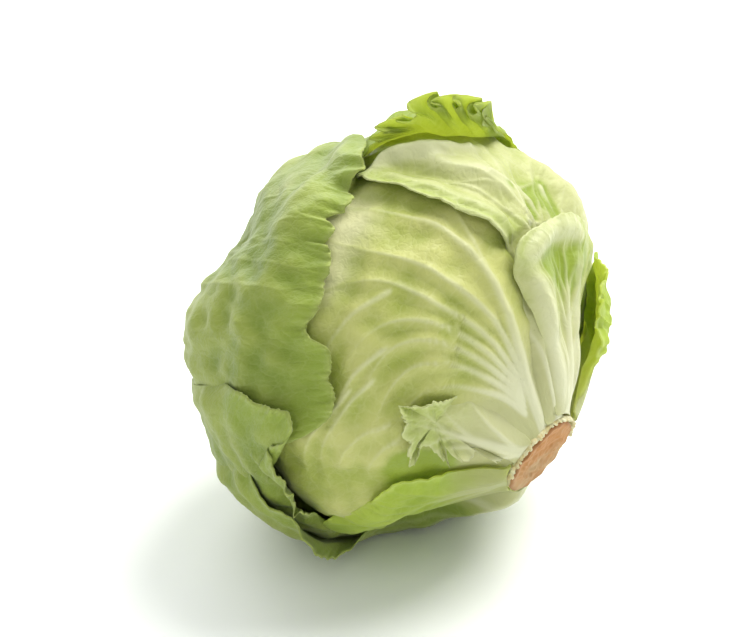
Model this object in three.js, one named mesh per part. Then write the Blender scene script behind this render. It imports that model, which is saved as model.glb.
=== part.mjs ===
// An iceberg lettuce lying on its side: a packed heart on a cut stem, wrapped in loose outer leaves.
// Millimetres and degrees. World +Z is up and +X is the way the cut stem points, seen from above.
// The head is built in its own frame: local +Z runs out of the cut stem, +X is the upper side, +Y the front.
// A place on the head is an angle from the stem and a turn about it (0 top, 90 front, 180 below, 270 behind).
import * as THREE from "three";

// Head
const HEART_RADIUS = 72; // across the stem axis
const HEART_TO_STEM = 57; // along the stem axis
const HEART_TO_TIP = 66;
const STEM_DIP = 22; // how far the stem points below level
const CENTRE_HEIGHT = 72; // of the head's middle above the surface it lies on
const NECK_RISE = 9; // the leaf bases climb this far towards the cut stem
const NECK_SPREAD = 17; // degrees over which that climb fades
const REST_LEVEL = 6.0; // the heart side is pressed flat at this height over the surface
const REST_BLEND = 1.2; // rounding at the edge of that flat

// Leaves
const BLADE = 1.2; // thickness of a leaf
const PITCH = 2.6; // from one leaf to the next one lying on it
const BASE_SWELL = 1.2; // a leaf is this much thicker where it leaves the stem
const BASE_REACH = 36; // degrees from the stem where that ends
const DRAPE = 11; // degrees over which a leaf climbs onto the edge of the leaf below
const RIB_HEIGHT = 1.0;
const RIB_FADE = 0.85; // share of the way to the edge where the ribs die out
const LIFT_START = 0.6; // share of the way to the edge where a free edge begins to lift
const RUFFLE = 0.4; // share of the lift that waves up and down
const SCALLOP = 1; // degrees that a free edge waves in and out
const RUFFLE_SECTORS = 4; // sectors to a wave
const SECTORS = 40;
const RINGS = 6;

// Heart
const HEART_GAP = 1.4; // below the first leaf
const HEART_SECTORS = 30;
const HEART_ROWS = 16;
const HEART_STEM_ANGLE = 11; // the heart is open to the stem inside this angle
const HEART_LEAVES = 5; // inner leaf edges that show as steps
const HEART_STEP = 2.4;
const HEART_TWIST = 200; // degrees that a leaf edge winds from stem to tip

// Stem
const STEM_RADIUS = 15;
const STEM_ROOT_RADIUS = 9;
const STEM_ROOT = 42; // along the stem axis from the head's middle
const STEM_SHOULDER = 52;
const STEM_CUT = 67.5;
const STEM_CUT_SLANT = 0.1; // rise of the cut per millimetre across it
const STEM_SIDES = 28;

// Outlines are [angle from stem, turn about stem, lift of the free edge], from the inmost leaf out.
// hub is the place that a leaf's rows spread from.
const LEAVES = [
  {
    name: "back_leaf", hub: [62, 263], ribs: 7, sectors: 28, colour: 0xa9b86a,
    outline: [[14, 244], [14, 280], [32, 292], [60, 312], [95, 326], [134, 322], [160, 272], [134, 232],
      [96, 222], [60, 226], [30, 236]],
  },
  {
    name: "front_leaf", hub: [56, 28], ribs: 10, colour: 0xbcc27a,
    outline: [[14, 4], [14, 44], [24, 48], [36, 58], [44, 74], [50, 92], [59, 107], [70, 104], [82, 96],
      [95, 86], [106, 68], [114, 48], [118, 28], [117, 10], [104, 2], [84, 357], [62, 357], [40, 0], [22, 1]],
  },
  {
    name: "torn_leaf", hub: [39, 59], ribs: 4, sectors: 32, colour: 0xb4c073, jagged: true,
    outline: [[15, 40], [22, 42], [32, 46], [42, 53], [50, 57], [55, 61, 1.5], [50, 63], [53, 68, 2], [47, 69],
      [47, 77, 3], [42, 72], [38, 80, 2], [33, 75], [26, 76], [18, 78], [15, 78]],
  },
  {
    name: "top_leaf", hub: [68, 349], ribs: 8, colour: 0xc7cf92,
    outline: [[14, 340], [14, 14], [30, 11], [50, 8, 1], [66, 7, 3], [77, 10, 3], [86, 12, 3], [94, 14, 3],
      [101, 18, 2], [108, 17, 1], [115, 6], [112, 345], [96, 330], [70, 322], [45, 326], [25, 332]],
  },
  {
    name: "right_leaf", hub: [34, 341], ribs: 5, sectors: 32, colour: 0xd2d7a6,
    outline: [[14, 324], [14, 358], [30, 0], [46, 1, 1], [57, 356, 4], [62, 347, 5], [62, 336, 4],
      [60, 326, 2], [45, 318], [25, 318]],
  },
  {
    name: "crest_leaf", hub: [92, 292], ribs: 9, sectors: 48, colour: 0xa6bb4c,
    outline: [[14, 270], [14, 304], [30, 304], [60, 310], [82, 320], [93, 332, 3], [97, 343, 8],
      [101, 351, 12], [106, 358, 13], [112, 3, 9], [120, 358, 3], [132, 340], [138, 305], [124, 274],
      [100, 262], [70, 262], [40, 264]],
  },
  {
    name: "rim_leaf", hub: [36, 310], ribs: 6, colour: 0x9fb53a,
    outline: [[15, 292], [15, 322], [26, 330, 3], [38, 338, 7], [50, 338, 8], [60, 331, 5], [70, 319, 2],
      [72, 302, 1], [60, 290], [40, 284], [24, 286]],
  },
  {
    name: "left_leaf", hub: [143, 187], ribs: 11, sectors: 68, rings: 9, colour: 0x98a95a,
    outline: [[134, 350], [128, 2, 1], [116, 11, 2], [109, 23, 1], [109, 31, 1], [105, 37, 2], [103, 40, 1],
      [98, 43, 2], [95, 47, 1], [90, 51, 2], [88, 56, 1], [87, 60, 1], [82, 61, 2], [77, 62, 2],
      [76, 67, 1], [71, 71, 2], [71, 77, 2], [76, 84, 1], [80, 98], [78, 118], [70, 142], [52, 168], [32, 182],
      [22, 186], [22, 194], [44, 204], [66, 212], [92, 214], [118, 212], [144, 220], [160, 262], [154, 318],
      [144, 338]],
  },
  {
    name: "wrap_leaf", hub: [100, 191], ribs: 8, sectors: 48, rings: 8, colour: 0x9cad5c,
    outline: [[112, 74], [103, 80, 1], [96, 82, 1], [86, 80, 2], [80, 78, 2], [77, 83, 2], [76, 89, 2],
      [74, 95, 4], [70, 101, 5], [67, 109, 3], [63, 126], [52, 154], [34, 172], [14, 174], [14, 192], [42, 204],
      [64, 214], [90, 216], [116, 200], [134, 150], [128, 100]],
  },
  {
    name: "low_leaf", hub: [30, 122], ribs: 7, colour: 0xa2b257,
    outline: [[16, 74], [19, 86], [24, 92, 2], [32, 92, 5], [38, 95, 5], [46, 101, 6], [56, 107, 4],
      [62, 117, 1], [62, 132], [56, 145], [44, 154], [30, 160, 1], [20, 160, 1], [15, 150], [15, 110]],
  },
  {
    name: "bottom_leaf", hub: [78, 182], ribs: 9, colour: 0x8f9f4c,
    outline: [[14, 180], [14, 212], [36, 218], [62, 222], [92, 224], [114, 208], [122, 172], [116, 140],
      [102, 121, 1], [88, 115, 2], [76, 120, 3], [68, 128, 4], [60, 139, 3], [46, 153, 1], [28, 170]],
  },
  {
    name: "rear_leaf", hub: [60, 236], ribs: 9, colour: 0x9aac55,
    outline: [[14, 218], [14, 252], [34, 256], [60, 265, 3], [90, 270, 5], [114, 264, 6], [132, 244, 5],
      [134, 222, 3], [110, 212, 1], [80, 212], [45, 215], [25, 216]],
  },
];

const rad = THREE.MathUtils.degToRad;
const deg = THREE.MathUtils.radToDeg;
const smooth = (low, high, x) => THREE.MathUtils.smoothstep(x, low, high);
const DOWN = new THREE.Vector3(-Math.cos(rad(STEM_DIP)), 0, Math.sin(rad(STEM_DIP)));

// Unit direction from the head's middle, in the head's frame.
function towards(angle, turn) {
  const a = rad(angle);
  const t = rad(turn);
  return new THREE.Vector3(Math.sin(a) * Math.cos(t), Math.sin(a) * Math.sin(t), Math.cos(a));
}

function angleFromStem(direction) {
  return deg(Math.acos(THREE.MathUtils.clamp(direction.z, -1, 1)));
}

function swellAt(direction) {
  return BASE_SWELL * smooth(-BASE_REACH, -14, -angleFromStem(direction));
}

// A point lying a height over the heart's skin. The underside is pressed flat where the head rests.
function onHead(direction, height) {
  const halfHeight = direction.z > 0 ? HEART_TO_STEM : HEART_TO_TIP;
  const skin = new THREE.Vector3(
    direction.x * HEART_RADIUS,
    direction.y * HEART_RADIUS,
    direction.z * halfHeight,
  );
  const out = new THREE.Vector3(
    direction.x / HEART_RADIUS,
    direction.y / HEART_RADIUS,
    direction.z / halfHeight,
  ).normalize();
  const fromStem = angleFromStem(direction);
  skin.z += NECK_RISE * Math.exp(-((fromStem / NECK_SPREAD) ** 2));
  const level = CENTRE_HEIGHT - skin.dot(DOWN);
  const pressed = REST_LEVEL + REST_BLEND * Math.log1p(Math.exp((level - REST_LEVEL) / REST_BLEND));
  skin.addScaledVector(DOWN, level - pressed);
  const flatness = 1 / (1 + Math.exp((level - REST_LEVEL) / REST_BLEND));
  out.lerp(DOWN, flatness).normalize();
  return skin.addScaledVector(out, height);
}

// A leaf's own flat map: degrees across and along from its hub, with along pointing away from the stem.
function leafMap([angle, turn]) {
  const middle = towards(angle, turn);
  const along = towards(angle + 90, turn);
  const across = new THREE.Vector3().crossVectors(middle, along).negate();
  return {
    flat(direction) {
      const far = deg(Math.acos(THREE.MathUtils.clamp(direction.dot(middle), -1, 1)));
      const bearing = Math.atan2(direction.dot(across), direction.dot(along));
      return [far * Math.sin(bearing), far * Math.cos(bearing)];
    },
    direction(x, y) {
      const far = rad(Math.hypot(x, y));
      const bearing = Math.atan2(x, y);
      return middle
        .clone()
        .multiplyScalar(Math.cos(far))
        .addScaledVector(along, Math.sin(far) * Math.cos(bearing))
        .addScaledVector(across, Math.sin(far) * Math.sin(bearing));
    },
  };
}

// The edge of a leaf as evenly spaced points on its flat map, each with its lift in z.
function edgeOf(leaf, map) {
  const corners = leaf.outline.map(([angle, turn, lift = 0]) => {
    const [x, y] = map.flat(towards(angle, turn));
    return new THREE.Vector3(x, y, lift);
  });
  const curve = leaf.jagged
    ? new THREE.CurvePath()
    : new THREE.CatmullRomCurve3(corners, true, "centripetal");
  if (leaf.jagged) {
    corners.forEach((corner, i) => {
      curve.add(new THREE.LineCurve3(corner, corners[(i + 1) % corners.length]));
    });
  }
  const sectors = leaf.sectors ?? SECTORS;
  const edge = curve.getSpacedPoints(sectors).slice(0, sectors);
  return THREE.ShapeUtils.isClockWise(edge) ? edge.reverse() : edge;
}

// Degrees from a place on the flat map to a leaf's edge, positive inside the leaf.
function insideBy(edge, x, y) {
  let nearest = Infinity;
  let inside = false;
  edge.forEach((b, i) => {
    const a = edge[(i + edge.length - 1) % edge.length];
    const length2 = (b.x - a.x) ** 2 + (b.y - a.y) ** 2;
    const share = ((x - a.x) * (b.x - a.x) + (y - a.y) * (b.y - a.y)) / length2;
    const t = THREE.MathUtils.clamp(share, 0, 1);
    nearest = Math.min(nearest, Math.hypot(x - a.x - t * (b.x - a.x), y - a.y - t * (b.y - a.y)));
    if (a.y > y !== b.y > y && x < a.x + ((y - a.y) / (b.y - a.y)) * (b.x - a.x)) inside = !inside;
  });
  return inside ? nearest : -nearest;
}

// How far the leaves already laid raise the next one at a place.
function pileAt(laid, direction) {
  const pitch = PITCH + swellAt(direction);
  return laid.reduce((height, { map, edge }) => {
    const [x, y] = map.flat(direction);
    return height + pitch * smooth(-DRAPE, 0, insideBy(edge, x, y));
  }, 0);
}

// A closed body from an outer and an inner skin, each a pole followed by rows of the same length.
function closedSkins(outer, inner, rowLength) {
  const geometry = new THREE.BufferGeometry();
  const faces = [];
  const rows = (outer.length - 1) / rowLength;
  const at = (skin, row, i) => skin * outer.length + 1 + row * rowLength + (i % rowLength);
  for (const skin of [0, 1]) {
    const face = (a, b, c) => faces.push(...(skin ? [a, c, b] : [a, b, c]));
    for (let i = 0; i < rowLength; i++) {
      face(skin * outer.length, at(skin, 0, i), at(skin, 0, i + 1));
      for (let row = 0; row + 1 < rows; row++) {
        face(at(skin, row, i), at(skin, row + 1, i), at(skin, row + 1, i + 1));
        face(at(skin, row, i), at(skin, row + 1, i + 1), at(skin, row, i + 1));
      }
    }
  }
  for (let i = 0; i < rowLength; i++) {
    faces.push(at(0, rows - 1, i), at(1, rows - 1, i), at(1, rows - 1, i + 1));
    faces.push(at(0, rows - 1, i), at(1, rows - 1, i + 1), at(0, rows - 1, i + 1));
  }
  geometry.setFromPoints([...outer, ...inner]);
  geometry.setIndex(faces);
  return geometry;
}

// One leaf, draped over the leaves already laid. Ribs stand on its outer face and its free edge lifts.
function leafGeometry(leaf, map, edge, laid) {
  const outer = [];
  const inner = [];
  const add = (x, y, relief, lift) => {
    const direction = map.direction(x, y);
    const height = pileAt(laid, direction) + lift;
    const top = onHead(direction, height + BLADE + swellAt(direction) + relief);
    const sunk = top.dot(DOWN) - CENTRE_HEIGHT;
    if (sunk > 0) top.addScaledVector(DOWN, -sunk);
    outer.push(top);
    inner.push(onHead(direction, height));
  };
  add(0, 0, 0, 0);
  const rings = leaf.rings ?? RINGS;
  for (let ring = 1; ring <= rings; ring++) {
    const share = Math.sin((0.5 * Math.PI * ring) / rings) * 0.35 + (0.65 * ring) / rings;
    const lifted = Math.max(0, (share - LIFT_START) / (1 - LIFT_START)) ** 2;
    const ribbed = share < RIB_FADE ? RIB_HEIGHT * (1 - share / RIB_FADE) : 0;
    edge.forEach((point, i) => {
      const wave = Math.cos((2 * Math.PI * i) / RUFFLE_SECTORS);
      const ridge = 0.5 + 0.5 * Math.cos((2 * Math.PI * leaf.ribs * i) / edge.length);
      const scallop = point.z > 0 ? (SCALLOP * wave * lifted) / Math.hypot(point.x, point.y) : 0;
      const reach = share + scallop;
      add(point.x * reach, point.y * reach, ribbed * ridge, point.z * lifted * (1 + RUFFLE * wave));
    });
  }
  return closedSkins(outer, inner, edge.length);
}

// The packed heart: leaf edges wind round it from the stem to the tip as low steps.
function heartGeometry() {
  const points = [];
  const rows = [];
  for (let row = 0; row <= HEART_ROWS; row++) {
    rows.push(HEART_STEM_ANGLE + ((180 - HEART_STEM_ANGLE) * row) / (HEART_ROWS + 1));
  }
  const skin = (angle, turn) => {
    const wound = (HEART_LEAVES * (turn + (HEART_TWIST * angle) / 180)) / 360;
    const step = HEART_STEP * (wound - Math.floor(wound)) * Math.sin(rad(angle));
    return onHead(towards(angle, turn), -HEART_GAP - step);
  };
  const stemEnd = new THREE.Vector3(0, 0, STEM_ROOT - HEART_GAP);
  points.push(stemEnd);
  for (const angle of rows) {
    for (let i = 0; i < HEART_SECTORS; i++) {
      const place = skin(angle, (360 * i) / HEART_SECTORS);
      if (angle === HEART_STEM_ANGLE) place.z = STEM_ROOT - HEART_GAP;
      points.push(place);
    }
  }
  const tip = points.length;
  points.push(onHead(towards(180, 0), -HEART_GAP));
  const at = (row, i) => 1 + row * HEART_SECTORS + (i % HEART_SECTORS);
  const faces = [];
  for (let i = 0; i < HEART_SECTORS; i++) {
    faces.push(0, at(0, i), at(0, i + 1));
    for (let row = 0; row < HEART_ROWS; row++) {
      faces.push(at(row, i), at(row + 1, i), at(row + 1, i + 1));
      faces.push(at(row, i), at(row + 1, i + 1), at(row, i + 1));
    }
    faces.push(at(HEART_ROWS, i), tip, at(HEART_ROWS, i + 1));
  }
  const geometry = new THREE.BufferGeometry().setFromPoints(points);
  geometry.setIndex(faces);
  return geometry;
}

// The stem, cut slightly aslant.
function stemGeometry() {
  const profile = [
    [0, STEM_ROOT],
    [STEM_ROOT_RADIUS, STEM_ROOT],
    [STEM_RADIUS - 1, STEM_SHOULDER],
    [STEM_RADIUS, (STEM_SHOULDER + STEM_CUT) / 2],
    [STEM_RADIUS, STEM_CUT - 0.8],
    [STEM_RADIUS - 0.8, STEM_CUT],
    [0, STEM_CUT],
  ].map(([radius, height]) => new THREE.Vector2(radius, height));
  const geometry = new THREE.LatheGeometry(profile, STEM_SIDES);
  geometry.rotateX(Math.PI / 2);
  const place = geometry.getAttribute("position");
  for (let i = 0; i < place.count; i++) {
    const z = place.getZ(i);
    if (z > STEM_SHOULDER) place.setZ(i, z + STEM_CUT_SLANT * place.getX(i));
  }
  return geometry;
}

function named(name, geometry, colour, roughness) {
  const material = new THREE.MeshStandardMaterial({ color: colour, roughness, metalness: 0 });
  const mesh = new THREE.Mesh(geometry, material);
  mesh.name = name;
  return mesh;
}

const head = new THREE.Group();
head.add(named("stem", stemGeometry(), 0xc79a68, 0.8));
head.add(named("heart", heartGeometry(), 0xc3cc8a, 0.55));
const laid = [];
for (const leaf of LEAVES) {
  const map = leafMap(leaf.hub);
  const edge = edgeOf(leaf, map);
  head.add(named(leaf.name, leafGeometry(leaf, map, edge, laid), leaf.colour, 0.5));
  laid.push({ map, edge });
}

// Stand the head's frame in the world: its stem dips along +X and its front faces -Y.
const upper = new THREE.Vector3(Math.sin(rad(STEM_DIP)), 0, Math.cos(rad(STEM_DIP)));
const front = new THREE.Vector3(0, -1, 0);
const stemWay = new THREE.Vector3(Math.cos(rad(STEM_DIP)), 0, -Math.sin(rad(STEM_DIP)));
head.quaternion.setFromRotationMatrix(new THREE.Matrix4().makeBasis(upper, front, stemWay));
head.position.z = CENTRE_HEIGHT;

const lettuce = new THREE.Group();
lettuce.add(head);
export default lettuce;
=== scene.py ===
import math

import bpy
import numpy as np
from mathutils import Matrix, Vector


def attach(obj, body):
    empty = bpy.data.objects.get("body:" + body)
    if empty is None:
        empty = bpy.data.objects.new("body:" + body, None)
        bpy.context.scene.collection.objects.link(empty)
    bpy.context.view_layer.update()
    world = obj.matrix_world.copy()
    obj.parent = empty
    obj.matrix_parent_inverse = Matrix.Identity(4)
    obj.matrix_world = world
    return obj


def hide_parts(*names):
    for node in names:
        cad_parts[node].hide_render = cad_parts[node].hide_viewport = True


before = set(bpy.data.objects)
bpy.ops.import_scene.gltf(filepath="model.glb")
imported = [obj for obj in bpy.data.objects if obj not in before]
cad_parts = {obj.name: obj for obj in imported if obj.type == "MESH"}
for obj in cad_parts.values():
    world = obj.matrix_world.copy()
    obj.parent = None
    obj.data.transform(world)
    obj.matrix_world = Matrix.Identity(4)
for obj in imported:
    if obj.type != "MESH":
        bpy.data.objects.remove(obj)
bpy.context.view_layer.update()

# The head, in millimetres and degrees, as in the part's source.
HEART_RADIUS = 72.0  # across the stem's line
HEART_TO_STEM = 57.0  # along it
HEART_TO_TIP = 66.0
STEM_DIP = math.radians(22)  # how far the stem points below level
CENTRE_HEIGHT = 72.0  # of the head's middle over the floor
NECK_RISE = 9.0  # how far the leaf bases climb towards the cut
NECK_SPREAD = 17.0  # degrees over which that climb fades
REST_LEVEL = 6.0  # height at which the heart is pressed flat
REST_BLEND = 1.2  # rounding at the edge of that flat
PITCH = 2.6  # from one leaf to the next one lying on it
BASE_SWELL = 1.2  # how much thicker a leaf is where it leaves the stem
BASE_REACH = 36.0  # degrees from the stem where that ends
STEM_RADIUS = 15.0
STEM_CUT = 67.5  # from the head's middle along the stem's line

# Values of these finer leaves, in millimetres where nothing else is said.
DRAPE = 9.0  # degrees over which a leaf climbs onto the one below
DEGREE = 1.3  # millimetres to a degree on the head's skin
LEAF_BASE_TOP = STEM_CUT - 1.5
LEAF_BASE_UNDER = STEM_CUT - 2.5
BLADE_EDGE = 0.7  # thickness at the edge
BLADE_MORE = 0.5  # how much thicker the inner blade is
SEAT_WIDTH = 12  # how far in a fixed edge starts to dive
RUFFLE_WIDTH = 16  # how far in the waves of a free edge start
FRILL_WIDTH = 18  # how far in its curls start
MARGIN_WIDTH = 22  # how far in its brighter colour starts
EDGE_HIGHLIGHT_WIDTH = 1.6  # width of the painted highlight along it
MM = 0.001  # metres to a millimetre

# Directions of the head's own frame in the part's frame, and the way down in the head's own frame.
UPPER = np.array([math.sin(STEM_DIP), 0, math.cos(STEM_DIP)])
FRONT = np.array([0.0, -1.0, 0.0])
STEMWARD = np.array([math.cos(STEM_DIP), 0, -math.sin(STEM_DIP)])
DOWN = np.array([-math.cos(STEM_DIP), 0, math.sin(STEM_DIP)])


def smooth(low, high, x):
    t = np.clip((x - low) / (high - low), 0, 1)
    return t * t * (3 - 2 * t)


def towards(angle, turn):
    a = np.radians(np.asarray(angle, float))
    t = np.radians(np.asarray(turn, float))
    return np.stack([np.sin(a) * np.cos(t), np.sin(a) * np.sin(t), np.cos(a)], -1)


def from_stem(direction):
    return np.degrees(np.arccos(np.clip(direction[..., 2], -1, 1)))


def swell(direction):
    return BASE_SWELL * smooth(-BASE_REACH, -14, -from_stem(direction))


def on_head(direction, height):
    """Points a height over the heart's skin, pressed flat where the head rests."""
    half = np.where(direction[..., 2] > 0, HEART_TO_STEM, HEART_TO_TIP)
    size = np.stack([np.full_like(half, HEART_RADIUS), np.full_like(half, HEART_RADIUS), half], -1)
    skin = direction * size
    out = direction / size
    out /= np.linalg.norm(out, axis=-1, keepdims=True)
    skin[..., 2] += NECK_RISE * np.exp(-((from_stem(direction) / NECK_SPREAD) ** 2))
    level = CENTRE_HEIGHT - skin @ DOWN
    press = (level - REST_LEVEL) / REST_BLEND
    pressed = REST_LEVEL + REST_BLEND * np.logaddexp(0, press)
    skin += (level - pressed)[..., None] * DOWN
    flat = 1 / (1 + np.exp(np.clip(press, -40, 40)))
    out = out + (DOWN - out) * flat[..., None]
    out /= np.linalg.norm(out, axis=-1, keepdims=True)
    return skin + out * np.asarray(height)[..., None]


def in_world(local):
    """From the head's frame in millimetres to the part's frame in metres."""
    world = local @ np.stack([UPPER, FRONT, STEMWARD])
    world[..., 2] += CENTRE_HEIGHT
    return world * MM


def ripples(place, length, seed):
    """A smooth random field between about -1 and 1 with bumps of about that length."""
    draw = np.random.default_rng(seed)
    total = np.zeros(place.shape[:-1])
    for _ in range(14):
        way = draw.normal(size=place.shape[-1])
        way *= 2 * np.pi / (length * draw.uniform(0.75, 1.5) * np.linalg.norm(way))
        total += np.sin(place @ way + draw.uniform(0, 2 * np.pi))
    return total / 4.2


# Broad bulges and dents of the whole head: angle from stem, turn, half width in degrees, height.
BULGES = [
    (126, 57, 11, -2.4), (150, 68, 13, -6.0), (168, 120, 14, -4.0), (124, 89, 14, 3.0), (131, 106, 13, 1.6),
    (138, 356, 11, -3.2), (146, 14, 9, 1.6), (110, 119, 12, -2.6), (77, 315, 12, 3.6), (44, 166, 13, -3.0),
    (118, 11, 9, -4.4), (30, 277, 11, -2.4), (101, 322, 8, -3.0), (142, 344, 8, -3.0),
]


def degrees_apart(direction, angle, turn):
    return np.degrees(np.arccos(np.clip(direction @ towards(angle, turn), -1, 1)))


def bulge(direction):
    total = 0.0
    for angle, turn, width, height in BULGES:
        total = total + height * np.exp(-((degrees_apart(direction, angle, turn) / width) ** 2))
    return total


class LeafMap:
    """A leaf's own flat map: degrees across and along from its hub, along pointing away from the stem."""

    def __init__(self, hub):
        self.middle = towards(*hub)
        self.along = towards(hub[0] + 90, hub[1])
        self.across = -np.cross(self.middle, self.along)

    def flat(self, direction):
        far = np.degrees(np.arccos(np.clip(direction @ self.middle, -1, 1)))
        bearing = np.arctan2(direction @ self.across, direction @ self.along)
        return np.stack([far * np.sin(bearing), far * np.cos(bearing)], -1)

    def direction(self, flat):
        far = np.radians(np.hypot(flat[..., 0], flat[..., 1]))[..., None]
        bearing = np.arctan2(flat[..., 0], flat[..., 1])[..., None]
        side = self.along * np.cos(bearing) + self.across * np.sin(bearing)
        return self.middle * np.cos(far) + side * np.sin(far)

    def place(self, spots):
        spots = np.asarray(spots, float)
        return self.flat(towards(spots[:, 0], spots[:, 1]))


def closed_curve(corners, steps, straight):
    """A smooth closed curve through the corners, or straight lines between them."""
    t = np.linspace(0, 1, steps, endpoint=False)[:, None]
    parts = []
    for i in range(len(corners)):
        before, start, end, after = (corners[(i + j) % len(corners)] for j in (-1, 0, 1, 2))
        if straight:
            parts.append(start + (end - start) * t)
            continue
        pairs = ((before, start), (start, end), (end, after))
        past, here, ahead = (max(np.linalg.norm(b - a), 1e-6) ** 0.5 for a, b in pairs)
        leave = (start - before) / past - (end - before) / (past + here) + (end - start) / here
        arrive = (end - start) / here - (after - start) / (here + ahead) + (after - end) / ahead
        leave, arrive = leave * here, arrive * here
        parts.append(
            (2 * t**3 - 3 * t**2 + 1) * start
            + (t**3 - 2 * t**2 + t) * leave
            + (3 * t**2 - 2 * t**3) * end
            + (t**3 - t**2) * arrive
        )
    return np.concatenate(parts)


def evenly(curve, count, closer=0.0):
    """Points along a closed curve, closer together where it is free, and how far along it each lies."""
    loop = np.concatenate([curve, curve[:1]])
    steps = np.hypot(*(np.diff(loop[:, :2], axis=0)).T)
    run = np.concatenate([[0], np.cumsum(steps)])
    weight = 1 + closer * smooth(0.2, 1.5, curve[:, 2])
    pace = np.concatenate([[0], np.cumsum(steps * weight)])
    at = np.interp(np.linspace(0, pace[-1], count, endpoint=False), pace, run)
    return np.stack([np.interp(at, run, loop[:, i]) for i in range(loop.shape[1])], -1), at


def inside_by(edge, spots):
    """Degrees from places on a flat map to a leaf's edge, positive inside the leaf."""
    nearest = np.full(len(spots), np.inf)
    inside = np.zeros(len(spots), bool)
    x, y = spots.T
    for a, b in zip(np.roll(edge, 1, axis=0)[:, :2], edge[:, :2]):
        step = b - a
        share = np.clip(((x - a[0]) * step[0] + (y - a[1]) * step[1]) / max(step @ step, 1e-9), 0, 1)
        far2 = (x - a[0] - share * step[0]) ** 2 + (y - a[1] - share * step[1]) ** 2
        nearest = np.minimum(nearest, far2)
        if a[1] != b[1]:
            crosses = (a[1] > y) != (b[1] > y)
            inside ^= crosses & (x < a[0] + (y - a[1]) / (b[1] - a[1]) * step[0])
    return np.where(inside, 1, -1) * np.sqrt(nearest)
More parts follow.
